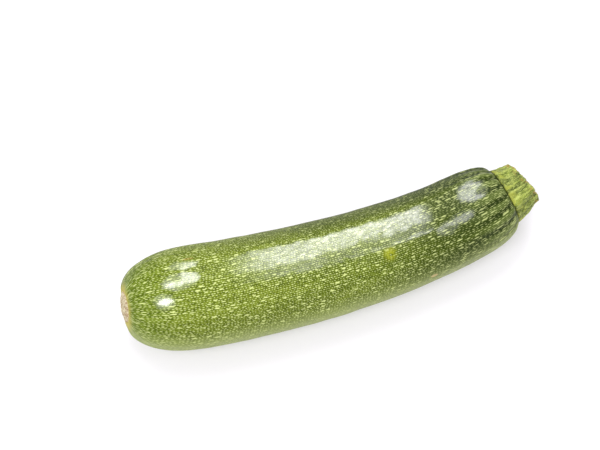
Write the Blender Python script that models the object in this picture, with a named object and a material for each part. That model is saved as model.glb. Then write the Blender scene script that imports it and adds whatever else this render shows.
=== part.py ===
"""A courgette lying on its side: one bent, faintly ribbed fruit and the cut stub of its stem.

Both pieces are turned first, straight along X, and then shaped point by point: ribs, bend and flattened
belly. Lengths are in metres and angles in degrees. The finished part lies on Z = 0, centred on the origin.
"""

import math

import bmesh
import bpy
import numpy as np

# The fruit, measured along its bent axis from the rim of the blossom scar to the seat of the stem.
FRUIT_LENGTH = 0.1835
BELLY_RADIUS = 0.0240
SHOULDER_RADIUS = 0.0194
BELLY_END = 0.13  # the share of the length after which the fruit narrows
TAPER_POWER = 1.5

# Its two rounded ends: how long each one is, and how full.
BLOSSOM_LENGTH = 0.0350
BLOSSOM_FULLNESS = 2.27
SHOULDER_LENGTH = 0.0175
SHOULDER_FULLNESS = 2.1

# The corky blossom scar, and the seat under the stem.
SCAR_RADIUS = 0.0073
SCAR_DOME = 0.0018
SCAR_POWER = 2.5
SEAT_RADIUS = 0.0130
SEAT_DOME = 0.0006

# The bend, seen from above; the blossom end's small lean, upwards and to one side; the rise at the stem.
HEADING_START = -9.6
HEADING_END = 11.0
HEADING_POWER = 1.44
LEAN_SPAN = 0.045
LEAN_HEADING = 3.9
LEAN_HEIGHT = 0.0034
RISE_SPAN = 0.060
RISE_HEIGHT = 0.0045

# The underside curves up a little towards both ends, and it is pressed flat where it touches the surface.
LOWEST_POINT = 0.47
UNDERSIDE_BOW = 0.0012
PRESSED_DEPTH = 0.0006

# Ribs: five, each with a fainter one half way to the next.
RIB_COUNT = 5
RIB_ANGLE = 114.0
RIB_SOFTNESS = 0.16
RIB_HEIGHT_STEM = 0.0015
RIB_HEIGHT_MIDDLE = 0.0003
RIB_HEIGHT_BLOSSOM = 0.0006
RIB_RISE_POWER = 3.0
RIB_FADE = 0.004
MINOR_RIB = 0.45

# The stub of the stem: five corners, feet that spread over the shoulder, and a cut end.
STEM_LENGTH = 0.0120
STEM_FOOT_RADIUS = 0.0152
STEM_CUT_RADIUS = 0.0118
STEM_TAPER_POWER = 1.25
STEM_CORNER_ANGLE = 118.0
STEM_CORNER_SOFTNESS = 0.12
STEM_FACE_DEPTH = 0.18
STEM_MINOR_RIB = 0.13
STEM_TURN = 11.0
STEM_RISE = 6.0
STEM_FOOT_BLEND = 0.006
STEM_FOOT_EDGE = 0.0007
STEM_CUT_EDGE = 0.0006
STEM_CUT_DISH = 0.0005
STEM_GAP = 0.0003

# How fine the meshes are.
AROUND = 50
SCAR_RINGS = 4
BLOSSOM_RINGS = 12
BODY_RINGS = 15
SHOULDER_RINGS = 9
SEAT_RINGS = 3
STEM_SIDE_RINGS = 9
STEM_BASE_RINGS = 6
STEM_CUT_RINGS = 3
TABLE_STEPS = 4000

# Colours as seen, red, green and blue out of 255.
SKIN_COLOUR = (139, 151, 76)
STEM_COLOUR = (152, 164, 80)


def clear_scene():
    for obj in list(bpy.data.objects):
        bpy.data.objects.remove(obj, do_unlink=True)


def linear(colour):
    """A colour as seen, out of 255, as the linear values that a material takes."""
    return [((c / 255 + 0.055) / 1.055) ** 2.4 for c in colour] + [1.0]


def make_material(name, colour, roughness):
    material = bpy.data.materials.new(name)
    material.use_nodes = True
    shader = material.node_tree.nodes["Principled BSDF"]
    shader.inputs["Base Color"].default_value = linear(colour)
    shader.inputs["Roughness"].default_value = roughness
    shader.inputs["Metallic"].default_value = 0.0
    return material


def body_radius(s):
    """The radius at a distance along the axis, before the ends are rounded."""
    share = np.clip((s / FRUIT_LENGTH - BELLY_END) / (1 - BELLY_END), 0, 1)
    return BELLY_RADIUS + (SHOULDER_RADIUS - BELLY_RADIUS) * share**TAPER_POWER


def rounding(distance, length, fullness):
    """0 at an end of the fruit and 1 from `length` on: a quarter of a superellipse."""
    x = np.clip(1 - distance / length, 0, 1)
    return (1 - x**fullness) ** (1 / fullness)


def fruit_radius(s):
    body = body_radius(s)
    blossom = rounding(s, BLOSSOM_LENGTH, BLOSSOM_FULLNESS)
    shoulder = rounding(FRUIT_LENGTH - s, SHOULDER_LENGTH, SHOULDER_FULLNESS)
    from_scar = SCAR_RADIUS + (body - SCAR_RADIUS) * blossom
    from_seat = SEAT_RADIUS + (body - SEAT_RADIUS) * shoulder
    return np.where(s < FRUIT_LENGTH / 2, from_scar, from_seat)


def fruit_outline():
    """The turned outline as fine arrays: distance along the axis, radius, and the outward normal."""
    scar_r = np.linspace(0, SCAR_RADIUS, TABLE_STEPS // 8, endpoint=False)
    scar_s = -SCAR_DOME * (1 - (scar_r / SCAR_RADIUS) ** SCAR_POWER)
    skin_s = FRUIT_LENGTH * (1 - np.cos(np.linspace(0, math.pi, TABLE_STEPS))) / 2
    seat_r = np.linspace(SEAT_RADIUS, 0, TABLE_STEPS // 8)[1:]
    seat_s = FRUIT_LENGTH + SEAT_DOME * (1 - (seat_r / SEAT_RADIUS) ** 2)
    s = np.concatenate([scar_s, skin_s, seat_s])
    r = np.concatenate([scar_r, fruit_radius(skin_s), seat_r])
    ds, dr = np.gradient(s), np.gradient(r)
    size = np.hypot(ds, dr)
    return s, r, -dr / size, ds / size


OUTLINE_S, OUTLINE_R, NORMAL_S, NORMAL_R = fruit_outline()


def outline_stations():
    """Distances along the axis for the rings, evenly spaced over the outline within each stretch."""
    walked = np.concatenate([[0], np.cumsum(np.hypot(np.diff(OUTLINE_S), np.diff(OUTLINE_R)))])
    shoulder = FRUIT_LENGTH - SHOULDER_LENGTH
    ends = [-SCAR_DOME, 0, BLOSSOM_LENGTH, shoulder, FRUIT_LENGTH, FRUIT_LENGTH + SEAT_DOME]
    counts = [SCAR_RINGS, BLOSSOM_RINGS, BODY_RINGS, SHOULDER_RINGS, SEAT_RINGS]
    walks = np.interp(ends, OUTLINE_S, walked)
    stretches = [np.linspace(a, b, n, endpoint=False) for a, b, n in zip(walks, walks[1:], counts)]
    return np.interp(np.append(np.concatenate(stretches), walks[-1]), walked, OUTLINE_S)


def heading(s):
    """The direction of the axis seen from above, in radians."""
    share = np.clip(s / FRUIT_LENGTH, 0, 1)
    lean = np.clip(1 - s / LEAN_SPAN, 0, 1) ** 2
    bend = (HEADING_END - HEADING_START) * share**HEADING_POWER
    return np.radians(HEADING_START + bend + LEAN_HEADING * lean)


def axis_height(s):
    along = s / FRUIT_LENGTH
    lean = np.clip(1 - s / LEAN_SPAN, 0, 1) ** 2
    rise = np.clip(1 - (FRUIT_LENGTH - s) / RISE_SPAN, 0, 1) ** 2
    bow = UNDERSIDE_BOW * ((along - LOWEST_POINT) * 2) ** 2
    return body_radius(s) + bow - PRESSED_DEPTH + LEAN_HEIGHT * lean + RISE_HEIGHT * rise


def bent_axis():
    """Points along the fruit's axis and its direction there, in fine steps."""
    s = np.linspace(0, FRUIT_LENGTH, TABLE_STEPS)
    turn = heading(s)
    step = np.diff(s)
    x = np.concatenate([[0], np.cumsum((np.cos(turn[1:]) + np.cos(turn[:-1])) / 2 * step)])
    y = np.concatenate([[0], np.cumsum((np.sin(turn[1:]) + np.sin(turn[:-1])) / 2 * step)])
    slope = np.arctan(np.gradient(axis_height(s), s))
    return s, np.stack([x, y, axis_height(s)], 1), turn, slope


AXIS_S, AXIS_POINTS, AXIS_TURN, AXIS_SLOPE = bent_axis()


def stem_axis(t):
    """A point on the stem's axis a distance t past the fruit's end, with the turn and the slope there."""
    share = np.clip(t / STEM_LENGTH, 0, 1)
    turn = AXIS_TURN[-1] + math.radians(STEM_TURN) * share
    slope = AXIS_SLOPE[-1] + math.radians(STEM_RISE) * share
    middle_turn, middle_slope = (AXIS_TURN[-1] + turn) / 2, (AXIS_SLOPE[-1] + slope) / 2
    return AXIS_POINTS[-1] + t[:, None] * direction(middle_turn, middle_slope), turn, slope


def direction(turn, slope):
    return np.stack([np.cos(turn) * np.cos(slope), np.sin(turn) * np.cos(slope), np.sin(slope)], 1)


def fruit_axis(s):
    """A point on the fruit's axis with the turn and the slope there. Past its ends it runs on straight."""
    inside = np.clip(s, 0, FRUIT_LENGTH)
    points = np.stack([np.interp(inside, AXIS_S, AXIS_POINTS[:, i]) for i in range(3)], 1)
    turn, slope = np.interp(inside, AXIS_S, AXIS_TURN), np.interp(inside, AXIS_S, AXIS_SLOPE)
    return points + (s - inside)[:, None] * direction(turn, slope), turn, slope


def around_axis(points, turn, slope, radius, angle):
    """Points at a radius and an angle round the axis: 0 is on the -Y side, a quarter turn is on top."""
    side = np.stack([np.sin(turn), -np.cos(turn), 0 * turn], 1)
    up = np.cross(side, direction(turn, slope))
    return points + (radius * np.cos(angle))[:, None] * side + (radius * np.sin(angle))[:, None] * up


def crests(angle, first, count, softness):
    """Near 1 on each of `count` crests round the piece, and near 0 in the valleys between them."""
    return 1 - np.sqrt(np.sin((angle - math.radians(first)) * count / 2) ** 2 + softness**2)


def rib_height(s, r, angle):
    along = np.clip(s / FRUIT_LENGTH, 0, 1)
    height = RIB_HEIGHT_MIDDLE + (RIB_HEIGHT_STEM - RIB_HEIGHT_MIDDLE) * along**RIB_RISE_POWER
    height = height + (RIB_HEIGHT_BLOSSOM - RIB_HEIGHT_MIDDLE) * (1 - along) ** (2 * RIB_RISE_POWER)
    tip = np.where(along < 0.5, SCAR_RADIUS, SEAT_RADIUS)
    fade = np.clip((r - tip) / RIB_FADE, 0, 1)
    major = crests(angle, RIB_ANGLE, RIB_COUNT, RIB_SOFTNESS)
    minor = crests(angle, RIB_ANGLE + 180 / RIB_COUNT, RIB_COUNT, RIB_SOFTNESS)
    average = (1.5 - 4 / math.pi) * (1 + MINOR_RIB)
    return height * fade**2 * (3 - 2 * fade) * (major**2 + MINOR_RIB * minor**2 - average)


def turned_piece(name, outline, material):
    """The outline, as (distance, radius) pairs that start and end on the axis, spun round X."""
    mesh = bpy.data.meshes.new(name)
    shape = bmesh.new()
    lowest = -math.pi / 2 + math.pi / AROUND
    points = [shape.verts.new((s, r * math.cos(lowest), r * math.sin(lowest))) for s, r in outline]
    edges = [shape.edges.new(pair) for pair in zip(points, points[1:])]
    bmesh.ops.spin(
        shape,
        geom=points + edges,
        cent=(0, 0, 0),
        axis=(1, 0, 0),
        angle=math.tau,
        steps=AROUND,
        use_merge=True,
    )
    bmesh.ops.remove_doubles(shape, verts=shape.verts, dist=1e-7)
    bmesh.ops.recalc_face_normals(shape, faces=shape.faces)
    shape.to_mesh(mesh)
    shape.free()
    mesh.materials.append(material)
    piece = bpy.data.objects.new(name, mesh)
    bpy.context.scene.collection.objects.link(piece)
    return piece


def points_of(piece):
    """The piece's points as distance along X, radius, and angle round X from -Y upwards."""
    flat = np.empty(len(piece.data.vertices) * 3)
    piece.data.vertices.foreach_get("co", flat)
    s, y, z = flat.reshape(-1, 3).T
    return s, np.hypot(y, z), np.arctan2(z, -y)


def move_points(piece, places):
    piece.data.vertices.foreach_set("co", places.ravel())
    piece.data.update()


def ribbed(s, r, angle):
    """Where the ribs take a point of the turned fruit, as distance along the axis and radius."""
    height = rib_height(s, r, angle)
    return s + height * np.interp(s, OUTLINE_S, NORMAL_S), r + height * np.interp(s, OUTLINE_S, NORMAL_R)


def make_fruit():
    stations = outline_stations()
    radii = np.interp(stations, OUTLINE_S, OUTLINE_R)
    skin = make_material("skin", SKIN_COLOUR, roughness=0.35)
    fruit = turned_piece("fruit", list(zip(stations, radii)), skin)
    s, r, angle = points_of(fruit)
    s, r = ribbed(s, r, angle)
    places = around_axis(*fruit_axis(s), r, angle)
    places[:, 2] = np.maximum(places[:, 2], 0)
    move_points(fruit, places)
    fruit.data.shade_smooth()
    return fruit


def stem_outline():
    """The stem as if round, and its seat flat: out along its base, up its side, and in over the cut."""
    base = [(0, STEM_FOOT_RADIUS * i / STEM_BASE_RINGS) for i in range(STEM_BASE_RINGS)]
    heights = np.linspace(STEM_FOOT_EDGE, STEM_LENGTH - STEM_CUT_EDGE, STEM_SIDE_RINGS)
    side = [(t, stem_radius(t)) for t in heights]
    cut = STEM_CUT_RADIUS - STEM_CUT_EDGE
    top = [(STEM_LENGTH, cut * (1 - i / STEM_CUT_RINGS)) for i in range(STEM_CUT_RINGS + 1)]
    return base + [(0, STEM_FOOT_RADIUS - STEM_FOOT_EDGE / 2)] + side + top


def stem_radius(t):
    flare = (1 - t / STEM_LENGTH) ** STEM_TAPER_POWER
    return STEM_CUT_RADIUS + (STEM_FOOT_RADIUS - STEM_CUT_RADIUS) * flare


def shoulder_height(radius, angle):
    """How far past the fruit's end its ribbed shoulder and seat reach, at a radius and an angle."""
    near = OUTLINE_S > FRUIT_LENGTH - SHOULDER_LENGTH
    s, r = OUTLINE_S[near], OUTLINE_R[near]
    heights = []
    for one_radius, one_angle in zip(radius, angle):
        ribbed_s, ribbed_r = ribbed(s, r, one_angle)
        heights.append(np.interp(one_radius, ribbed_r[::-1], ribbed_s[::-1]) - FRUIT_LENGTH)
    return np.array(heights)


def make_stem():
    rind = make_material("stem", STEM_COLOUR, roughness=0.6)
    stem = turned_piece("stem", stem_outline(), rind)
    t, r, angle = points_of(stem)
    major = crests(angle, STEM_CORNER_ANGLE, RIB_COUNT, STEM_CORNER_SOFTNESS)
    minor = crests(angle, STEM_CORNER_ANGLE + 180 / RIB_COUNT, RIB_COUNT, STEM_CORNER_SOFTNESS)
    shape = 1 - STEM_FACE_DEPTH * (1 - major) + STEM_MINOR_RIB * minor**2
    r = r * shape
    reach = np.where(t > 0, STEM_FOOT_RADIUS * shape, r)
    spread = np.clip(1 - t / STEM_FOOT_BLEND, 0, 1) ** 2
    dish = STEM_CUT_DISH * (t >= STEM_LENGTH - 1e-6) * (1 - (r / STEM_CUT_RADIUS) ** 2)
    t = t + (shoulder_height(reach, angle) + STEM_GAP) * spread - dish
    move_points(stem, around_axis(*stem_axis(t), r, angle))
    stem.data.shade_smooth()
    stem.data.set_sharp_from_angle(angle=math.radians(50))
    return stem


def centre_on_floor(pieces):
    """Moves all pieces together so that the box around them is centred on the origin, seen from above."""
    places = [np.array([v.co for v in piece.data.vertices]) for piece in pieces]
    low, high = np.concatenate(places).min(0), np.concatenate(places).max(0)
    offset = np.array([(low[0] + high[0]) / 2, (low[1] + high[1]) / 2, low[2]])
    for piece, points in zip(pieces, places):
        move_points(piece, points - offset)


def main():
    clear_scene()
    centre_on_floor([make_fruit(), make_stem()])


main()
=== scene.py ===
"""A courgette lying on its side: flecked waxy skin, a corky blossom scar and the ribbed stub of its stem.

The fine pieces follow the same outline, ribs and bend as the solids that they stand for, with many more
points, and carry the relief that shows close up. Lengths are in metres, angles in degrees, and colours as
seen, out of 255.
"""

import math

import bmesh
import bpy
import numpy as np
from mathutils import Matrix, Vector, noise


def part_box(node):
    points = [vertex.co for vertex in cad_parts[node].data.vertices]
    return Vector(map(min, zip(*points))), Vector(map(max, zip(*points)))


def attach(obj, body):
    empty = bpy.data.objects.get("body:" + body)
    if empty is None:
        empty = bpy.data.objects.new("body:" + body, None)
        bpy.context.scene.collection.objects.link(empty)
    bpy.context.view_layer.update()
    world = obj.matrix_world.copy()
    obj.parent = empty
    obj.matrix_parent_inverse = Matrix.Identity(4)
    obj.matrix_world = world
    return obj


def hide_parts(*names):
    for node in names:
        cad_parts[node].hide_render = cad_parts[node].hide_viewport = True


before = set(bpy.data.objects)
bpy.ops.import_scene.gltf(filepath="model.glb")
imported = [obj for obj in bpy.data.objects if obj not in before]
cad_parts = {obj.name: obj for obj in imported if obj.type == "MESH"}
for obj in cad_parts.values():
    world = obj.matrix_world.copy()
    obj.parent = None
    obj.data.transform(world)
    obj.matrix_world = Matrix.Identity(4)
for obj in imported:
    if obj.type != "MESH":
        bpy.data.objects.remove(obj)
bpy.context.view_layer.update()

# The fruit's form, as its solid has it, measured along the bent axis from the rim of the blossom scar.
FRUIT_LENGTH = 0.1835
BELLY_RADIUS = 0.0240
SHOULDER_RADIUS = 0.0194
BELLY_END = 0.13
TAPER_POWER = 1.5
BLOSSOM_LENGTH = 0.0350
BLOSSOM_FULLNESS = 2.27
SHOULDER_LENGTH = 0.0175
SHOULDER_FULLNESS = 2.1
SCAR_RADIUS = 0.0073
SCAR_DOME = 0.0018
SCAR_POWER = 2.5
SEAT_RADIUS = 0.0130
SEAT_DOME = 0.0006
HEADING_START = -9.6
HEADING_END = 11.0
HEADING_POWER = 1.44
LEAN_SPAN = 0.045
LEAN_HEADING = 3.9
LEAN_HEIGHT = 0.0034
RISE_SPAN = 0.060
RISE_HEIGHT = 0.0045
LOWEST_POINT = 0.47
UNDERSIDE_BOW = 0.0012
PRESSED_DEPTH = 0.0006
RIB_COUNT = 5
RIB_ANGLE = 114.0
RIB_SOFTNESS = 0.16
RIB_HEIGHT_STEM = 0.0015
RIB_HEIGHT_MIDDLE = 0.0003
RIB_HEIGHT_BLOSSOM = 0.0006
RIB_RISE_POWER = 3.0
RIB_FADE = 0.004
MINOR_RIB = 0.45

# The stem's form, as its solid has it.
STEM_LENGTH = 0.0120
STEM_FOOT_RADIUS = 0.0152
STEM_CUT_RADIUS = 0.0118
STEM_TAPER_POWER = 1.25
STEM_CORNER_ANGLE = 118.0
STEM_CORNER_SOFTNESS = 0.12
STEM_FACE_DEPTH = 0.18
STEM_MINOR_RIB = 0.13
STEM_TURN = 11.0
STEM_RISE = 6.0
STEM_FOOT_BLEND = 0.006
STEM_FOOT_EDGE = 0.0007
STEM_CUT_EDGE = 0.0006
STEM_CUT_DISH = 0.0005

# How fine the meshes are.
FRUIT_AROUND = 220
SCAR_RINGS = 56
BLOSSOM_RINGS = 90
BODY_RINGS = 190
SHOULDER_RINGS = 66
SEAT_RINGS = 6
STEM_AROUND = 320
STEM_SIDE_RINGS = 70
STEM_BASE_RINGS = 8
STEM_CUT_RINGS = 56
TABLE_STEPS = 4000
MERGE_DISTANCE = 1e-7

# Relief that only the fine pieces have.
LUMP_SIZE = 0.013
LUMP_HEIGHT = 0.00022
DIMPLE_SIZE = 0.0035
DIMPLE_HEIGHT = 0.00003
RELIEF_FADE = 0.002
FLUTE_COUNT = 20
FLUTE_ANGLE = 114.0
FLUTE_SOFTNESS = 0.25
FLUTE_HEIGHT_STEM = 0.00070
FLUTE_LEVEL_STEM = 0.5
FLUTE_SPAN_STEM = 0.030
FLUTE_POWER_STEM = 1.3
FLUTE_COUNT_BLOSSOM = 17
FLUTE_ANGLE_BLOSSOM = 87.5
FLUTE_HEIGHT_BLOSSOM = 0.00028
FLUTE_LEVEL_BLOSSOM = 0.7
FLUTE_SPAN_BLOSSOM = 0.042
FLUTE_FADE_BLOSSOM = 0.006
FLUTE_WANDER = 5.0
FLUTE_WANDER_BLOSSOM = 0.4
FLUTE_WANDER_SIZE = 0.011
FLUTE_WANDER_STRETCH = 0.15
SCAR_LIP = 0.90
SCAR_LIP_WIDTH = 0.12
SCAR_LIP_HEIGHT = 0.00011
SCAR_SINK = 0.0007
SCAR_SINK_WIDTH = 0.3
SCAR_GRIT_SIZE = 0.0011
SCAR_GRIT = 0.00022
SCAR_GRIT_FADE = 0.1
FIBRE_SIZE = 0.0011
FIBRE_STRETCH = 9.0
FIBRE_DEPTH = 0.00035
STEM_LUMP_SIZE = 0.0035
STEM_LUMP_HEIGHT = 0.00045
CUT_RAGGED_SIZE = 0.0022
CUT_RAGGED = 0.0007
CUT_RAGGED_MIDDLE = 0.35
CUT_RIM_POWER = 6
CUT_TEAR_START = 0.75
CUT_FIBRE_SIZE = 0.0008
CUT_FIBRE = 0.0002
FOOT_SINK = 0.0003
FOOT_SCALLOP_SIZE = 0.0042
FOOT_SCALLOP = 0.0008

# How far the skin's flecks are drawn out along the fruit: in the middle, and at its two ends.
STRETCH_MIDDLE = 2.0
STRETCH_BLOSSOM = 3.4
STRETCH_STEM = 4.2
STRETCH_SPAN = 0.055
STRETCH_MARGIN = 0.01

# The flecks lie in rows along the fruit, large ones and small ones: the number of rows round it, the pitch
# in a row where they aren't drawn out, and how many rows' width a row wanders aside.
LARGE_ROWS = 104
LARGE_PITCH = 0.00150
LARGE_WANDER = 5
SMALL_ROWS = 160
SMALL_PITCH = 0.00064
SMALL_WANDER = 6
WANDER_SIZE = 0.030
# How unevenly they lie: the shift from row to row, and a fleck's own, across and along, in cells.
ROW_SHIFT = 9
FLECK_SHIFT_ACROSS = 0.25
FLECK_SHIFT_ALONG = 0.35

# Patterns of the skin: how large their patches are, and how far some are drawn out along the fruit.
CLOUD_SIZE = 0.016
STREAK_SIZE = 0.0035
STREAK_STRETCH = 0.12
MOTTLE_SIZE = 0.0006
MOTTLE_STRETCH = 0.65
COARSE_SIZE = 0.0016
ODD_FLECK_SIZE = 0.0045
BRUISE_SIZE = 0.0018
PEBBLE_SIZE = 0.0013
WAX_SIZE = 0.010
RAGGED_SIZE = 0.0022
CORK_GRIT_SIZE = 0.0009
CORK_STAIN_SIZE = 0.0024
CORK_EDGE_SIZE = 0.0016

# Patterns of the stem.
BAND_SIZE = 0.0026
BAND_STRETCH = 0.15
PATCH_SIZE = 0.0028
THREAD_SIZE = 0.0009
THREAD_STRETCH = 0.25
GRAIN_SIZE = 0.0005
GRAIN_STRETCH = 0.6
PITH_SIZE = 0.0012

# Heights of the finest relief, which is bump in the materials.
MOTTLE_BUMP = 0.00004
PEBBLE_BUMP = 0.00008
FLECK_BUMP = 0.00003
CORK_BUMP = 0.0003
THREAD_BUMP = 0.0004
PATCH_BUMP = 0.0004
GRAIN_BUMP = 0.0001

# Marks on the skin: distance along the fruit, angle round it, half the width, half the length, softness.
BRUISE = (0.1198, 63.0, 0.0026, 0.0026, 1.4)
SCRATCH = (0.0298, 113.7, 0.0005, 0.0026, 0.8)
NICK = (0.1377, 7.4, 0.0010, 0.0016, 0.8)
SCAR_BULGE = (0.0, 66.0, 0.006, 0.006, 1.6)

# Glossy patches of the skin, besides the long band on its upper side: the same, and how glossy.
GLOSSY_PATCHES = (
    (0.0265, 106.0, 0.0024, 0.0066, 0.5, 0.80),
    (0.0240, 88.0, 0.0044, 0.0090, 0.4, 0.88),
    (0.0150, 66.5, 0.0036, 0.0052, 0.5, 0.60),
    (0.1690, 98.0, 0.0052, 0.0074, 0.6, 0.55),
    (0.1500, 67.0, 0.0028, 0.0052, 0.6, 0.46),
    (0.1580, 72.0, 0.0026, 0.0062, 0.6, 0.38),
)
COAT_LEAST = 0.02
COAT_ROUGHNESS = 0.15
COAT_IOR = 2.2
SKIN_SPECULAR = 0.06
STEM_SPECULAR = 0.3

# Colours of the skin.
GREEN = (93, 107, 24)
LIGHT_GREEN = (110, 124, 33)
STREAK_GREEN = (72, 87, 8)
MIDDLE_GREEN = (60, 76, 8)
NECK_GREEN = (42, 58, 6)
YELLOW_GREEN = (114, 130, 26)
# Of the valley, furrow and flute colours below, part is the skin's own and part is painted shade in the valleys
# and furrows and painted light on the crests.
BLOSSOM_GREEN = (70, 100, 12)
VALLEY_GREEN_AND_SHADE = (32, 46, 6)
MOTTLE_LIGHT = (158, 174, 80)
MOTTLE_DARK = (42, 56, 0)
COARSE_DARK = (48, 62, 4)
FURROW_GREEN_AND_SHADE = (26, 38, 6)
FLUTE_GREEN_AND_LIGHT = (140, 156, 84)
# The next colour is a painted reflection of the pale floor, laid on the low front side.
FLOOR_REFLECTION_GREEN = (158, 168, 110)
ROW_GREEN = (44, 60, 2)
FLECK_COLOUR = (208, 218, 142)
# The next colour is a painted reflection of the pale floor, a haze on the low front side.
FLOOR_REFLECTION_HAZE = (162, 172, 114)
SHADED_GREEN = (24, 36, 4)
GOLDEN_RING = (184, 170, 66)
BRUISE_YELLOW = (156, 160, 30)
SCRATCH_BROWN = (160, 128, 60)
NICK_TAN = (188, 168, 120)
# The next colour is a painted highlight, laid where the coat is glossy.
PAINTED_HIGHLIGHT_TINT = (200, 208, 184)
CORK_DARK = (150, 128, 98)
CORK_PALE = (208, 198, 166)
CORK_STAIN = (150, 114, 84)

# Colours of the stem.
GROOVE_GREEN = (74, 88, 16)
RIDGE_GREEN = (138, 152, 56)
BAND_DARK = (66, 80, 14)
BAND_LIGHT = (176, 186, 92)
PATCH_DARK = (84, 98, 28)
THREAD_LIGHT = (180, 190, 98)
THREAD_DARK = (60, 72, 12)
GRAIN_LIGHT = (196, 206, 116)
GRAIN_DARK = (60, 72, 16)
FOOT_YELLOW = (168, 172, 64)
# The next colour is painted shade in the crease at the stem's foot.
FOOT_CREASE_SHADE = (62, 72, 20)
SCAB_BROWN = (172, 130, 66)
PITH_DARK = (148, 144, 80)
PITH_PALE = (194, 190, 128)

# The camera looks down at the courgette. Its focal length is in pixels of the photograph.
IMAGE_WIDTH = 600
FOCAL_PIXELS = 2107
SENSOR = 36.0
CAMERA_AZIMUTH = -19.0
CAMERA_ELEVATION = 66.0
CAMERA_DISTANCE = 1.0
CAMERA_TARGET = (-0.00613, 0.03021, 0.0)
CAMERA_REACH = (0.05, 20.0)

# The floor and the light. A soft light has a name, azimuth, elevation, distance, width, height and watts.
WHITE = (1.0, 1.0, 1.0, 1.0)
FLOOR_SIZE = 8.0
FLOOR_DROP = 0.00005
FLOOR_COLOUR = (0.62, 0.60, 0.65, 1.0)
FLOOR_GLOW = 0.28
FLOOR_ROUGHNESS = 0.9
ROOM_LIGHT = 0.84
SOFT_LIGHTS = (
    ("key", 159.0, 56.0, 1.6, 0.50, 1.15, 8.5),
    ("top", -155.0, 74.0, 1.6, 0.45, 0.45, 3.2),
    ("front_right", 42.0, 60.0, 1.8, 0.50, 0.35, 2.5),
    ("front_left", -52.0, 61.0, 1.8, 0.60, 0.60, 14.0),
)


class Socket:
    """A node's output. Python's operators on it add Math nodes."""

    def __init__(self, graph, output):
        self.graph, self.output = graph, output

    def math(self, operation, *values):
        return self.graph.node("Math", {"operation": operation}, dict(enumerate(values)))

    def __add__(self, other):
        return self.math("ADD", self, other)

    def __radd__(self, other):
        return self.math("ADD", other, self)

    def __or__(self, other):
        """The larger of the two."""
        return self.math("MAXIMUM", self, other)

    def __sub__(self, other):
        return self.math("SUBTRACT", self, other)

    def __rsub__(self, other):
        return self.math("SUBTRACT", other, self)

    def __mul__(self, other):
        return self.math("MULTIPLY", self, other)

    def __rmul__(self, other):
        return self.math("MULTIPLY", other, self)

    def __truediv__(self, other):
        return self.math("DIVIDE", self, other)

    def __pow__(self, other):
        return self.math("POWER", self, other)

    def ramp(self, low, high):
        """0 up to low, 1 from high on, and a smooth step between them. Falls where low is above high."""
        inputs = {"Value": self, "From Min": low, "From Max": high}
        return self.graph.node("MapRange", {"interpolation_type": "SMOOTHSTEP"}, inputs)


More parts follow.
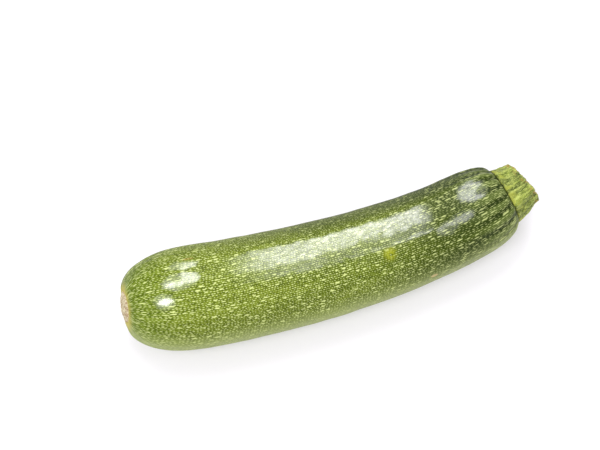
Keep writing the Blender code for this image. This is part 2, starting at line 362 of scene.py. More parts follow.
class Graph:
    """One material's nodes."""

    def __init__(self, name):
        self.material = bpy.data.materials.new(name)
        self.material.use_nodes = True
        self.tree = self.material.node_tree
        self.shader = self.tree.nodes["Principled BSDF"]

    def feed(self, socket, value):
        if isinstance(value, Socket):
            self.tree.links.new(value.output, socket)
        else:
            socket.default_value = value

    def node(self, kind, settings=None, inputs=None, output=0):
        """Adds a node, sets it, and gives its sockets their values or links. Returns one of its outputs."""
        added = self.tree.nodes.new("ShaderNode" + kind)
        for name, value in (settings or {}).items():
            setattr(added, name, value)
        for name, value in (inputs or {}).items():
            self.feed(added.inputs[name], value)
        return Socket(self, added.outputs[output])

    def attribute(self, name):
        return self.node("Attribute", {"attribute_name": name}, output="Vector")

    def parts(self, vector):
        split = self.node("SeparateXYZ", {}, {"Vector": vector})
        return [Socket(self, output) for output in split.output.node.outputs]

    def vector(self, operation, *values, output=0):
        return self.node("VectorMath", {"operation": operation}, dict(enumerate(values)), output)

    def stretched(self, place, share):
        """The place for a pattern that is drawn out along the piece. The smaller the share, the longer."""
        return self.vector("MULTIPLY", place, (1.0, 1.0, share))

    def near(self, local, along, angle, across, length, softness, ragged=0.0):
        """1 in an oval patch of the skin and 0 outside it. Its middle is given along and round the fruit."""
        turn, radius = math.radians(angle), float(fruit_radius(np.array([along]))[0])
        middle = (radius * math.cos(turn), radius * math.sin(turn), along)
        offset = self.vector("SUBTRACT", local, middle)
        reach = self.vector("LENGTH", self.vector("DIVIDE", offset, (across, across, length)), output="Value")
        return (reach + ragged).ramp(1 + softness / 2, 1 - softness / 2)

    def noise(self, place, size, detail=2.0, roughness=0.5):
        inputs = {"Vector": place, "Scale": 1 / size, "Detail": detail, "Roughness": roughness}
        return self.node("TexNoise", {}, inputs)

    def cells(self, place, size, output="Distance"):
        return self.node("TexVoronoi", {}, {"Vector": place, "Scale": 1 / size}, output)

    def mix(self, share, first, second):
        """A colour between two others. Each is a socket, or a colour as seen."""
        first, second = [c if isinstance(c, Socket) else linear(c) for c in (first, second)]
        return self.node("Mix", {"data_type": "RGBA"}, {0: share, 6: first, 7: second}, output=2)

    def paint(self, colour, *layers):
        """Lays colours over a colour, one after the other. Each layer is its share and its colour."""
        for share, tone in layers:
            colour = self.mix(share, colour, tone)
        return colour

    def spots(self, place, size, smallest, largest, softness):
        """Spots about the points of a cell pattern, each of its own size: 1 inside and 0 outside."""
        distance = self.cells(place, size)
        draw = self.parts(self.cells(place, size, "Color"))[0]
        edge = smallest + (largest - smallest) * draw
        return distance.ramp(edge, edge - softness)

    def draws(self, x, y):
        """Three random numbers between 0 and 1 for each pair of whole numbers."""
        place = self.node("CombineXYZ", {}, {"X": x, "Y": y})
        drawn = self.node("TexWhiteNoise", {"noise_dimensions": "3D"}, {"Vector": place}, "Color")
        return self.parts(drawn)

    def dashes(self, across, along, smallest, largest, softness, stretch):
        """Spots in rows, one to a cell. A row is 1 wide, a cell 1 long. 1 inside a spot and 0 outside."""
        row = across.math("FLOOR", across)
        shifted = along + self.draws(row, 0.5)[0] * ROW_SHIFT
        cell = shifted.math("FLOOR", shifted)
        aside, ahead, size = self.draws(row, cell)
        x = across - row - 0.5 - (aside - 0.5) * FLECK_SHIFT_ACROSS
        y = (shifted - cell - 0.5 - (ahead - 0.5) * FLECK_SHIFT_ALONG) / stretch
        edge = smallest + (largest - smallest) * size
        return ((x * x + y * y) ** 0.5).ramp(edge, edge - softness)

    def finish(self, colour, roughness, height):
        """Feeds the shader. The height is the bump's, in metres."""
        bump = self.node("Bump", {}, {"Strength": 1.0, "Distance": 1.0, "Height": height}, "Normal")
        for name, value in {"Base Color": colour, "Roughness": roughness, "Normal": bump}.items():
            self.feed(self.shader.inputs[name], value)
        return self.material


def linear(colour):
    return [((c / 255 + 0.055) / 1.055) ** 2.4 for c in colour] + [1.0]


# The fruit's and the stem's form

def body_radius(s):
    share = np.clip((s / FRUIT_LENGTH - BELLY_END) / (1 - BELLY_END), 0, 1)
    return BELLY_RADIUS + (SHOULDER_RADIUS - BELLY_RADIUS) * share**TAPER_POWER


def rounding(distance, length, fullness):
    x = np.clip(1 - distance / length, 0, 1)
    return (1 - x**fullness) ** (1 / fullness)


def fruit_radius(s):
    body = body_radius(s)
    from_scar = SCAR_RADIUS + (body - SCAR_RADIUS) * rounding(s, BLOSSOM_LENGTH, BLOSSOM_FULLNESS)
    shoulder = rounding(FRUIT_LENGTH - s, SHOULDER_LENGTH, SHOULDER_FULLNESS)
    from_seat = SEAT_RADIUS + (body - SEAT_RADIUS) * shoulder
    return np.where(s < FRUIT_LENGTH / 2, from_scar, from_seat)


def fruit_outline():
    """Distance along the axis, radius, outward normal and distance walked from the scar, as fine arrays."""
    scar_r = np.linspace(0, SCAR_RADIUS, TABLE_STEPS // 8, endpoint=False)
    scar_s = -SCAR_DOME * (1 - (scar_r / SCAR_RADIUS) ** SCAR_POWER)
    skin_s = FRUIT_LENGTH * (1 - np.cos(np.linspace(0, math.pi, TABLE_STEPS))) / 2
    seat_r = np.linspace(SEAT_RADIUS, 0, TABLE_STEPS // 8)[1:]
    seat_s = FRUIT_LENGTH + SEAT_DOME * (1 - (seat_r / SEAT_RADIUS) ** 2)
    s = np.concatenate([scar_s, skin_s, seat_s])
    r = np.concatenate([scar_r, fruit_radius(skin_s), seat_r])
    ds, dr = np.gradient(s), np.gradient(r)
    size = np.hypot(ds, dr)
    walked = np.concatenate([[0], np.cumsum(np.hypot(np.diff(s), np.diff(r)))])
    return s, r, -dr / size, ds / size, walked


OUTLINE_S, OUTLINE_R, NORMAL_S, NORMAL_R, WALKED = fruit_outline()


def outline_stations():
    """Distances along the axis for the rings, evenly spaced over the outline within each stretch."""
    shoulder = FRUIT_LENGTH - SHOULDER_LENGTH
    ends = [-SCAR_DOME, 0, BLOSSOM_LENGTH, shoulder, FRUIT_LENGTH, FRUIT_LENGTH + SEAT_DOME]
    counts = [SCAR_RINGS, BLOSSOM_RINGS, BODY_RINGS, SHOULDER_RINGS, SEAT_RINGS]
    walks = np.interp(ends, OUTLINE_S, WALKED)
    stretches = [np.linspace(a, b, n, endpoint=False) for a, b, n in zip(walks, walks[1:], counts)]
    return np.interp(np.append(np.concatenate(stretches), walks[-1]), WALKED, OUTLINE_S)


def direction(turn, slope):
    return np.stack([np.cos(turn) * np.cos(slope), np.sin(turn) * np.cos(slope), np.sin(slope)], 1)


def axis_height(s):
    lean = np.clip(1 - s / LEAN_SPAN, 0, 1) ** 2
    rise = np.clip(1 - (FRUIT_LENGTH - s) / RISE_SPAN, 0, 1) ** 2
    bow = UNDERSIDE_BOW * ((s / FRUIT_LENGTH - LOWEST_POINT) * 2) ** 2
    return body_radius(s) + bow - PRESSED_DEPTH + LEAN_HEIGHT * lean + RISE_HEIGHT * rise


def bent_axis():
    """Points along the fruit's axis and its direction there, in fine steps."""
    s = np.linspace(0, FRUIT_LENGTH, TABLE_STEPS)
    bend = (HEADING_END - HEADING_START) * (s / FRUIT_LENGTH) ** HEADING_POWER
    turn = np.radians(HEADING_START + bend + LEAN_HEADING * np.clip(1 - s / LEAN_SPAN, 0, 1) ** 2)
    step = np.diff(s)
    x = np.concatenate([[0], np.cumsum((np.cos(turn[1:]) + np.cos(turn[:-1])) / 2 * step)])
    y = np.concatenate([[0], np.cumsum((np.sin(turn[1:]) + np.sin(turn[:-1])) / 2 * step)])
    slope = np.arctan(np.gradient(axis_height(s), s))
    return s, np.stack([x, y, axis_height(s)], 1), turn, slope


AXIS_S, AXIS_POINTS, AXIS_TURN, AXIS_SLOPE = bent_axis()


def fruit_axis(s):
    inside = np.clip(s, 0, FRUIT_LENGTH)
    points = np.stack([np.interp(inside, AXIS_S, AXIS_POINTS[:, i]) for i in range(3)], 1)
    turn, slope = np.interp(inside, AXIS_S, AXIS_TURN), np.interp(inside, AXIS_S, AXIS_SLOPE)
    return points + (s - inside)[:, None] * direction(turn, slope), turn, slope


def stem_axis(t):
    share = np.clip(t / STEM_LENGTH, 0, 1)
    turn = AXIS_TURN[-1] + math.radians(STEM_TURN) * share
    slope = AXIS_SLOPE[-1] + math.radians(STEM_RISE) * share
    middle_turn, middle_slope = (AXIS_TURN[-1] + turn) / 2, (AXIS_SLOPE[-1] + slope) / 2
    return AXIS_POINTS[-1] + t[:, None] * direction(middle_turn, middle_slope), turn, slope


def around_axis(points, turn, slope, radius, angle):
    """Points at a radius and an angle round the axis: 0 is on the -Y side, a quarter turn is on top."""
    side = np.stack([np.sin(turn), -np.cos(turn), 0 * turn], 1)
    up = np.cross(side, direction(turn, slope))
    return points + (radius * np.cos(angle))[:, None] * side + (radius * np.sin(angle))[:, None] * up


def crests(angle, first, count, softness):
    return 1 - np.sqrt(np.sin((angle - math.radians(first)) * count / 2) ** 2 + softness**2)


def rib_height(s, r, angle):
    along = np.clip(s / FRUIT_LENGTH, 0, 1)
    height = RIB_HEIGHT_MIDDLE + (RIB_HEIGHT_STEM - RIB_HEIGHT_MIDDLE) * along**RIB_RISE_POWER
    height = height + (RIB_HEIGHT_BLOSSOM - RIB_HEIGHT_MIDDLE) * (1 - along) ** (2 * RIB_RISE_POWER)
    fade = np.clip((r - np.where(along < 0.5, SCAR_RADIUS, SEAT_RADIUS)) / RIB_FADE, 0, 1)
    major = crests(angle, RIB_ANGLE, RIB_COUNT, RIB_SOFTNESS)
    minor = crests(angle, RIB_ANGLE + 180 / RIB_COUNT, RIB_COUNT, RIB_SOFTNESS)
    average = (1.5 - 4 / math.pi) * (1 + MINOR_RIB)
    return height * fade**2 * (3 - 2 * fade) * (major**2 + MINOR_RIB * minor**2 - average)


def along_normal(s, r, height):
    return s + height * np.interp(s, OUTLINE_S, NORMAL_S), r + height * np.interp(s, OUTLINE_S, NORMAL_R)


def relief(places, size, octaves=2):
    """Soft random relief between about -1 and 1, with bumps about `size` across, the same each run."""
    return np.array([noise.fractal(Vector(p), 1.0, 2.0, octaves) for p in places / size])


def turned_piece(name, outline, steps):
    """The outline, as (distance, radius) pairs that start and end on the axis, spun round X."""
    mesh = bpy.data.meshes.new(name)
    shape = bmesh.new()
    lowest = -math.pi / 2 + math.pi / steps
    points = [shape.verts.new((s, r * math.cos(lowest), r * math.sin(lowest))) for s, r in outline]
    edges = [shape.edges.new(pair) for pair in zip(points, points[1:])]
    bmesh.ops.spin(
        shape,
        geom=points + edges,
        cent=(0, 0, 0),
        axis=(1, 0, 0),
        angle=math.tau,
        steps=steps,
        use_merge=True,
    )
    bmesh.ops.remove_doubles(shape, verts=shape.verts, dist=MERGE_DISTANCE)
    bmesh.ops.recalc_face_normals(shape, faces=shape.faces)
    shape.to_mesh(mesh)
    shape.free()
    piece = bpy.data.objects.new(name, mesh)
    bpy.context.scene.collection.objects.link(piece)
    return piece


def points_of(piece):
    """The piece's points as distance along X, radius, and angle round X from -Y upwards."""
    flat = np.empty(len(piece.data.vertices) * 3)
    piece.data.vertices.foreach_get("co", flat)
    s, y, z = flat.reshape(-1, 3).T
    return s, np.hypot(y, z), np.arctan2(z, -y)


def keep(piece, name, x, y, z):
    """Stores three numbers for each point, for the piece's material."""
    stored = piece.data.attributes.new(name, "FLOAT_VECTOR", "POINT")
    stored.data.foreach_set("vector", np.stack([x, y, z], 1).astype(np.float32).ravel())


def settle(piece, places, node):
    """Gives the piece its points, fitted to the box of the solid that it stands for."""
    cad_low, cad_high = [np.array(corner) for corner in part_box(node)]
    low, high = places.min(0), places.max(0)
    fitted = cad_low + (places - low) * (cad_high - cad_low) / (high - low)
    piece.data.vertices.foreach_set("co", fitted.ravel())
    piece.data.update()
    piece.data.shade_smooth()


def drawn_out(s):
    """Distance along the fruit for its flecks. It runs slower where they are longer, at the two ends."""
    fine = np.linspace(-STRETCH_MARGIN, FRUIT_LENGTH + STRETCH_MARGIN, TABLE_STEPS)
    blossom = np.clip(1 - fine / STRETCH_SPAN, 0, 1)
    stem = np.clip(1 - (FRUIT_LENGTH - fine) / STRETCH_SPAN, 0, 1)
    stretch = STRETCH_MIDDLE + (STRETCH_BLOSSOM - STRETCH_MIDDLE) * blossom
    stretch = stretch + (STRETCH_STEM - STRETCH_MIDDLE) * stem
    return np.interp(s, fine, np.cumsum(1 / stretch) * (fine[1] - fine[0]))


def flute_relief(s, angle, wrapped):
    """Grooves along the fruit near its ends: those at the stem, from 0 in one to 1 between two, and the relief."""
    wander = relief(wrapped * (1, 1, FLUTE_WANDER_STRETCH), FLUTE_WANDER_SIZE, 1) * math.radians(FLUTE_WANDER)
    first = FLUTE_ANGLE + 180 / FLUTE_COUNT
    stem = 1 - crests(angle + wander, first, FLUTE_COUNT, FLUTE_SOFTNESS)
    first = FLUTE_ANGLE_BLOSSOM + 180 / FLUTE_COUNT_BLOSSOM
    blossom = 1 - crests(angle + wander * FLUTE_WANDER_BLOSSOM, first, FLUTE_COUNT_BLOSSOM, FLUTE_SOFTNESS)
    at_stem = np.clip(1 - (FRUIT_LENGTH - s) / FLUTE_SPAN_STEM, 0, 1) ** FLUTE_POWER_STEM
    at_blossom = np.clip(1 - s / FLUTE_SPAN_BLOSSOM, 0, 1) * np.clip(s / FLUTE_FADE_BLOSSOM, 0, 1)
    height = FLUTE_HEIGHT_STEM * at_stem * (stem - FLUTE_LEVEL_STEM)
    return stem, height + FLUTE_HEIGHT_BLOSSOM * at_blossom * (blossom - FLUTE_LEVEL_BLOSSOM)


def scar_relief(share, angle, places):
    """The cork's height inside the scar: a lip near its edge, a sunken middle, and grit."""
    lip = SCAR_LIP_HEIGHT * np.exp(-(((share - SCAR_LIP) / SCAR_LIP_WIDTH) ** 2))
    hollow = np.clip((SCAR_LIP - share) / SCAR_SINK_WIDTH, 0, 1) * (0.6 + 0.4 * np.cos(share * 9 + angle))
    grit = relief(places, SCAR_GRIT_SIZE, 3) * SCAR_GRIT * np.clip((1 - share) / SCAR_GRIT_FADE, 0, 1)
    return lip + grit - SCAR_SINK * hollow


def make_fruit():
    stations = outline_stations()
    radii = np.interp(stations, OUTLINE_S, OUTLINE_R)
    piece = turned_piece("fine_fruit", list(zip(stations, radii)), FRUIT_AROUND)
    s, r, angle = points_of(piece)
    cosine, sine = np.cos(angle), np.sin(angle)
    local = np.stack([r * cosine, r * sine, s], 1)
    wrapped = np.stack([BELLY_RADIUS * cosine, BELLY_RADIUS * sine, s], 1)
    from_scar = np.interp(s, OUTLINE_S, WALKED) / SCAR_RADIUS
    skin = np.clip(from_scar - 1, 0, 1) * np.clip((FRUIT_LENGTH - s) / RELIEF_FADE, 0, 1)
    rib = rib_height(s, r, angle)
    lumps = LUMP_HEIGHT * relief(wrapped, LUMP_SIZE) + DIMPLE_HEIGHT * relief(wrapped, DIMPLE_SIZE)
    stem_flutes, flutes = flute_relief(s, angle, wrapped)
    height = rib + skin * (lumps + flutes) + scar_relief(from_scar, angle, local) * (from_scar < 1)
    s_out, r_out = along_normal(s, r, height)
    places = around_axis(*fruit_axis(s_out), r_out, angle)
    places[:, 2] = np.maximum(places[:, 2], 0)
    settle(piece, places, "fruit")
    keep(piece, "grain", wrapped[:, 0], wrapped[:, 1], drawn_out(s))
    keep(piece, "local", *local.T)
    keep(piece, "form", np.clip(s / FRUIT_LENGTH, 0, 1), rib / RIB_HEIGHT_STEM, from_scar)
    keep(piece, "sides", stem_flutes, cosine, sine)
    piece.data.materials.append(skin_material())
    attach(piece, "root")
    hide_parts("fruit")


def stem_radius(t):
    taper = (1 - t / STEM_LENGTH) ** STEM_TAPER_POWER
    return STEM_CUT_RADIUS + (STEM_FOOT_RADIUS - STEM_CUT_RADIUS) * taper


def stem_outline():
    base = [(0, STEM_FOOT_RADIUS * i / STEM_BASE_RINGS) for i in range(STEM_BASE_RINGS)]
    heights = np.linspace(STEM_FOOT_EDGE, STEM_LENGTH - STEM_CUT_EDGE, STEM_SIDE_RINGS)
    side = [(t, stem_radius(t)) for t in heights]
    cut = STEM_CUT_RADIUS - STEM_CUT_EDGE
    top = [(STEM_LENGTH, cut * (1 - i / STEM_CUT_RINGS)) for i in range(STEM_CUT_RINGS + 1)]
    return base + [(0, STEM_FOOT_RADIUS - STEM_FOOT_EDGE / 2)] + side + top


def shoulder_height(radius, angle):
    """How far past the fruit's end its ribbed shoulder and seat reach, at a radius and an angle."""
    near = OUTLINE_S > FRUIT_LENGTH - SHOULDER_LENGTH
    s, r = OUTLINE_S[near][::4], OUTLINE_R[near][::4]
    heights = np.zeros(len(radius))
    for one_angle in np.unique(angle.round(6)):
        here = np.abs(angle - one_angle) < 1e-5
        ribbed_s, ribbed_r = along_normal(s, r, rib_height(s, r, one_angle))
        heights[here] = np.interp(radius[here], ribbed_r[::-1], ribbed_s[::-1]) - FRUIT_LENGTH
    return heights


def make_stem():
    piece = turned_piece("fine_stem", stem_outline(), STEM_AROUND)
    t, r, angle = points_of(piece)
    major = crests(angle, STEM_CORNER_ANGLE, RIB_COUNT, STEM_CORNER_SOFTNESS)
    minor = crests(angle, STEM_CORNER_ANGLE + 180 / RIB_COUNT, RIB_COUNT, STEM_CORNER_SOFTNESS)
    shape = 1 - STEM_FACE_DEPTH * (1 - major) + STEM_MINOR_RIB * minor**2
    shaped_r = r * shape
    on_cut = t >= STEM_LENGTH - 1e-6
    on_side = (t > STEM_FOOT_EDGE / 2) & ~on_cut
    cosine, sine = np.cos(angle), np.sin(angle)
    wrapped = np.stack([STEM_FOOT_RADIUS * cosine, STEM_FOOT_RADIUS * sine, t], 1)
    flat = np.stack([r * cosine, r * sine, 0 * r], 1)

    # The side's fibres and lumps, and the scalloped edge of the foot.
    spread = np.clip(1 - t / STEM_FOOT_BLEND, 0, 1) ** 2
    side_share = np.clip(r / stem_radius(np.clip(t, 0, STEM_LENGTH)), 0, 1)
    side = FIBRE_DEPTH * relief(wrapped * (1, 1, 1 / FIBRE_STRETCH), FIBRE_SIZE, 2)
    side = side_share * (side + STEM_LUMP_HEIGHT * relief(wrapped, STEM_LUMP_SIZE, 2))
    side = side + FOOT_SCALLOP * relief(wrapped * (1, 1, 0), FOOT_SCALLOP_SIZE, 1) * spread
    r_out = shaped_r + side * on_side

    # The ragged, dished cut, and the foot that follows the fruit's shoulder.
    rim = np.clip(r / (STEM_CUT_RADIUS - STEM_CUT_EDGE), 0, 1) ** CUT_RIM_POWER
    ragged = CUT_RAGGED * np.abs(relief(flat, CUT_RAGGED_SIZE, 3))
    cut = STEM_CUT_DISH * (1 - (shaped_r / STEM_CUT_RADIUS) ** 2)
    cut = cut + ragged * (CUT_RAGGED_MIDDLE + (1 - CUT_RAGGED_MIDDLE) * rim)
    cut = cut - CUT_FIBRE * relief(flat, CUT_FIBRE_SIZE, 3)
    torn = np.clip((t / STEM_LENGTH - CUT_TEAR_START) / (1 - CUT_TEAR_START), 0, 1) * on_side
    reach = np.where(t > 0, STEM_FOOT_RADIUS * shape, shaped_r)
    foot = (shoulder_height(reach, angle) - FOOT_SINK) * spread
    t_out = t + foot - np.where(on_cut, cut, ragged * torn)

    settle(piece, around_axis(*stem_axis(t_out), r_out, angle), "stem")
    keep(piece, "grain", *wrapped.T)
    keep(piece, "local", *flat.T)
    keep(piece, "form", t / STEM_LENGTH, (shape - shape.min()) / (shape.max() - shape.min()), on_cut)
    piece.data.materials.append(stem_material())
    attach(piece, "root")
    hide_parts("stem")


# Materials

def skin_material():
    graph = Graph("waxy_skin")
    grain, local = graph.attribute("grain"), graph.attribute("local")
    along, crest, from_scar = graph.parts(graph.attribute("form"))
    stem_flute, facing, upward = graph.parts(graph.attribute("sides"))
    across, upwards, drawn = graph.parts(grain)
    mottle = graph.noise(graph.stretched(grain, MOTTLE_STRETCH), MOTTLE_SIZE, 1, 0.6)
    coarse = graph.noise(grain, COARSE_SIZE, 2, 0.6)
    stem_half = along.ramp(0.48, 0.80)
    stem_end = along.ramp(0.62, 0.98)
    neck = along.ramp(0.84, 0.97)
    shaded_furrow = stem_flute.ramp(0.5, 0.2) * neck
    # The low front side, where a painted reflection of the floor makes the skin paler and less contrasted.
    low = upward.ramp(0.50, -0.10) * facing.ramp(-0.70, 0.10)

    # The green under the flecks: clouded and streaked, darker towards the stem, and paler low on the front, where
    # a reflection of the pale floor is painted.
    clouds = graph.noise(grain, CLOUD_SIZE, 2)
    streaks = graph.noise(graph.stretched(grain, STREAK_STRETCH), STREAK_SIZE, 2)
    colour = graph.paint(
        graph.mix(clouds.ramp(0.38, 0.62), GREEN, LIGHT_GREEN),
        (streaks.ramp(0.42, 0.62) * 0.3, STREAK_GREEN),
        (along.ramp(0.35, 0.75) * 0.25, MIDDLE_GREEN),
        (stem_end * 0.85, NECK_GREEN),
        (along.ramp(0.40, 0.12) * 0.35, YELLOW_GREEN),
        (along.ramp(0.16, 0.0) * 0.35, BLOSSOM_GREEN),
        # The rib valleys near the stem darker: partly the skin's own colour, partly painted shade.
        (crest.ramp(0.30, -0.05) * stem_end * 0.6, VALLEY_GREEN_AND_SHADE),
        (mottle.ramp(0.50, 0.58) * (0.21 - 0.09 * stem_half), MOTTLE_LIGHT),
        (mottle.ramp(0.48, 0.40) * (0.50 - 0.30 * low), MOTTLE_DARK),
        (coarse.ramp(0.46, 0.34) * 0.08, COARSE_DARK),
        # The neck's furrows darker and its flute crests paler: partly the skin's own colour, partly painted shade
        # in the furrows and painted light on the crests.
        (shaded_furrow * 0.8, FURROW_GREEN_AND_SHADE),
        (stem_flute.ramp(0.60, 0.90) * neck * 0.5, FLUTE_GREEN_AND_LIGHT),
        (low * 0.52, FLOOR_REFLECTION_GREEN),
    )

    # Rows of pale flecks, large and small, with darker green between the rows and a few odd flecks.
    bearing = upwards.math("ARCTAN2", upwards, across) / math.tau
    wander = graph.noise(grain, WANDER_SIZE, 1) - 0.5
    large_row = bearing * LARGE_ROWS + wander * LARGE_WANDER
    small_row = bearing * SMALL_ROWS + wander * SMALL_WANDER
    gaps = small_row.math("PINGPONG", small_row, 0.5).ramp(0.26, 0.0)
    large = graph.dashes(large_row, drawn / LARGE_PITCH, stem_half * 0.22 - 0.20, 0.29, 0.10, 1.45)
    small = graph.dashes(small_row, drawn / SMALL_PITCH, 0.15, 0.31, 0.13, 1.5)
    odd = graph.spots(grain, ODD_FLECK_SIZE, 0.02, 0.12, 0.03)
    flecks = large * (0.88 + 0.07 * stem_half)
    flecks = flecks | small * (0.74 - 0.19 * stem_half + 0.10 * neck)
    flecks = (flecks | odd * 0.75) * (1 - 0.65 * shaded_furrow)

    # Painted shade on the far side and towards the stem end, the ring about the scar, and the marks.
    # Painted shade: the far side darkened, more so towards the stem.
    painted_far_shade = facing.ramp(-0.18, -0.67) * (0.10 + 0.40 * along.ramp(0.15, 0.60))
    shaded = painted_far_shade | along.ramp(0.58, 0.84) * (1 - low) * 0.32
    bruise = graph.near(local, *BRUISE) * graph.noise(grain, BRUISE_SIZE, 2).ramp(0.30, 0.50)
    colour = graph.paint(
        colour,
        (gaps * (0.38 + 0.22 * stem_half) * (1 - 0.5 * low), ROW_GREEN),
        (flecks * (1 - 0.25 * low), FLECK_COLOUR),
        # Painted reflection of the floor: a pale haze on the low front side.
        (low * 0.10, FLOOR_REFLECTION_HAZE),
        (shaded, SHADED_GREEN),
        (from_scar.ramp(1.8, 1.0) * 0.85, GOLDEN_RING),
        (bruise * 0.65, BRUISE_YELLOW),
        (graph.near(local, *SCRATCH) * 0.5, SCRATCH_BROWN),
        (graph.near(local, *NICK) * 0.8, NICK_TAN),
    )

    # The corky scar.
    grit = graph.noise(local, CORK_GRIT_SIZE, 3, 0.6)
    stains = graph.noise(local, CORK_STAIN_SIZE, 2, 0.6)
    cork = graph.mix(grit.ramp(0.36, 0.58), CORK_DARK, CORK_PALE)
    cork = graph.mix(stains.ramp(0.50, 0.62) * 0.6, cork, CORK_STAIN)
    edge = from_scar - graph.near(local, *SCAR_BULGE) * 0.14
    edge = edge + (graph.noise(local, CORK_EDGE_SIZE, 2) - 0.5) * 0.30
    on_scar = edge.ramp(1.04, 0.94)

    # The glossy coat: a long band on the upper side, thinner towards the stem, and patches at the two ends.
    pebbles = graph.cells(grain, PEBBLE_SIZE)
    pits = pebbles.ramp(0.66, 0.34)
    wax = graph.noise(grain, WAX_SIZE, 2).ramp(0.34, 0.54)
    ragged = graph.noise(grain, RAGGED_SIZE, 2) - 0.5
    band = along.ramp(0.24, 0.42) * along.ramp(0.805, 0.750) * (upward + ragged * 0.05).ramp(0.935, 0.968)
    band = band * (1 - 0.22 * along.ramp(0.52, 0.72))
    glossy = band * (0.65 + 0.35 * wax) * (0.65 + 0.35 * pits)
    for *place, strength in GLOSSY_PATCHES:
        glossy = glossy | graph.near(local, *place, ragged) * (0.75 + 0.25 * pits) * strength
    graph.feed(graph.shader.inputs["Coat Weight"], (COAT_LEAST + (1 - COAT_LEAST) * glossy) * (1 - on_scar))
    graph.feed(graph.shader.inputs["Coat Roughness"], COAT_ROUGHNESS)
    graph.feed(graph.shader.inputs["Coat IOR"], COAT_IOR)
    graph.feed(graph.shader.inputs["Specular IOR Level"], SKIN_SPECULAR)

    # Painted highlight: a pale tint laid where the coat is glossy, whitening the highlights.
    colour = graph.paint(colour, (glossy * 0.10, PAINTED_HIGHLIGHT_TINT), (on_scar, cork))
    roughness = 0.42 + mottle * 0.1 + on_scar * 0.3
    height = mottle * MOTTLE_BUMP + pebbles * PEBBLE_BUMP + odd * FLECK_BUMP + on_scar * grit * CORK_BUMP
    return graph.finish(colour, roughness, height)


def stem_material():
    graph = Graph("fibrous_stem")
    grain, local = graph.attribute("grain"), graph.attribute("local")
    along, ridge, on_cut = graph.parts(graph.attribute("form"))
    bands = graph.noise(graph.stretched(grain, BAND_STRETCH), BAND_SIZE, 2, 0.5)
    threads = graph.noise(graph.stretched(grain, THREAD_STRETCH), THREAD_SIZE, 3, 0.65)
    specks = graph.noise(graph.stretched(grain, GRAIN_STRETCH), GRAIN_SIZE, 1, 0.6)
    patches = graph.noise(grain, PATCH_SIZE, 3, 0.65)
    scabs = graph.noise(grain, PATCH_SIZE, 3)
    pith = graph.mix(graph.noise(local, PITH_SIZE, 3).ramp(0.38, 0.62), PITH_DARK, PITH_PALE)
    colour = graph.paint(
        graph.mix(ridge.ramp(0.10, 0.60), GROOVE_GREEN, RIDGE_GREEN),
        (bands.ramp(0.47, 0.38) * 0.6, BAND_DARK),
        (bands.ramp(0.52, 0.62) * 0.6, BAND_LIGHT),
        (patches.ramp(0.48, 0.60) * 0.5, PATCH_DARK),
        (threads.ramp(0.50, 0.60) * 0.5, THREAD_LIGHT),
        (threads.ramp(0.48, 0.38) * 0.6, THREAD_DARK),
        (specks.ramp(0.52, 0.60) * 0.35, GRAIN_LIGHT),
        (specks.ramp(0.46, 0.38) * 0.35, GRAIN_DARK),
        (along.ramp(0.42, 0.10) * patches.ramp(0.46, 0.54) * 0.6, FOOT_YELLOW),
        # Painted shade: the foot darker where it meets the fruit.
        (along.ramp(0.10, 0.0) * patches.ramp(0.58, 0.44) * 0.6, FOOT_CREASE_SHADE),
        (along.ramp(0.70, 0.95) * scabs.ramp(0.50, 0.56) * 0.7, SCAB_BROWN),
        (on_cut, pith),
    )
    graph.feed(graph.shader.inputs["Specular IOR Level"], STEM_SPECULAR)
    height = threads * THREAD_BUMP + patches * PATCH_BUMP + specks * GRAIN_BUMP
    return graph.finish(colour, 0.5 + threads * 0.15, height)


def floor_material():
    """Near white, and glowing a little as a lit table does, so that the shadow stays pale."""
    graph = Graph("pale_floor")
    graph.shader.inputs["Emission Color"].default_value = WHITE
    graph.shader.inputs["Emission Strength"].default_value = FLOOR_GLOW
    graph.shader.inputs["Base Color"].default_value = FLOOR_COLOUR
    graph.shader.inputs["Roughness"].default_value = FLOOR_ROUGHNESS
    return graph.material


# The set

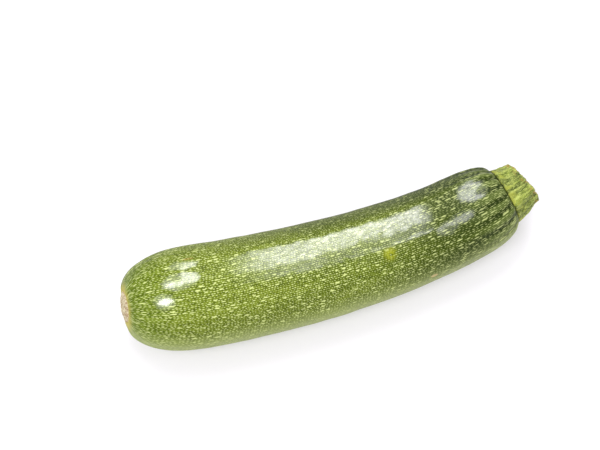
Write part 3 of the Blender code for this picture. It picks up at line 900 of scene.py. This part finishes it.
def make_floor():
    shape = bmesh.new()
    bmesh.ops.create_grid(shape, x_segments=1, y_segments=1, size=FLOOR_SIZE / 2)
    bmesh.ops.translate(shape, verts=shape.verts, vec=(0, 0, -FLOOR_DROP))
    mesh = bpy.data.meshes.new("floor")
    shape.to_mesh(mesh)
    shape.free()
    floor = bpy.data.objects.new("floor", mesh)
    bpy.context.scene.collection.objects.link(floor)
    mesh.materials.append(floor_material())


def towards(azimuth, elevation):
    """The direction of an azimuth and elevation. Azimuth 0 is on the -Y side and 90 on the +X side."""
    a, e = math.radians(azimuth), math.radians(elevation)
    return Vector((math.sin(a) * math.cos(e), -math.cos(a) * math.cos(e), math.sin(e)))


def make_camera():
    data = bpy.data.cameras.new("camera")
    data.sensor_width = SENSOR
    data.lens = FOCAL_PIXELS / IMAGE_WIDTH * SENSOR
    data.clip_start, data.clip_end = CAMERA_REACH
    camera = bpy.data.objects.new("camera", data)
    bpy.context.scene.collection.objects.link(camera)
    back = towards(CAMERA_AZIMUTH, CAMERA_ELEVATION)
    camera.location = Vector(CAMERA_TARGET) + back * CAMERA_DISTANCE
    camera.rotation_euler = (-back).to_track_quat("-Z", "Y").to_euler()
    bpy.context.scene.camera = camera


def make_soft_light(name, azimuth, elevation, distance, width, height, power):
    data = bpy.data.lights.new(name, "AREA")
    data.shape = "RECTANGLE"
    data.size, data.size_y = width, height
    data.energy = power
    lamp = bpy.data.objects.new(name, data)
    bpy.context.scene.collection.objects.link(lamp)
    back = towards(azimuth, elevation)
    lamp.location = back * distance
    lamp.rotation_euler = (-back).to_track_quat("-Z", "Y").to_euler()


def make_light():
    for light in SOFT_LIGHTS:
        make_soft_light(*light)
    world = bpy.data.worlds.new("room")
    world.use_nodes = True
    world.node_tree.nodes["Background"].inputs["Color"].default_value = WHITE
    world.node_tree.nodes["Background"].inputs["Strength"].default_value = ROOM_LIGHT
    bpy.context.scene.world = world
    bpy.context.scene.view_settings.view_transform = "Standard"


make_camera()
make_fruit()
make_stem()
make_floor()
make_light()
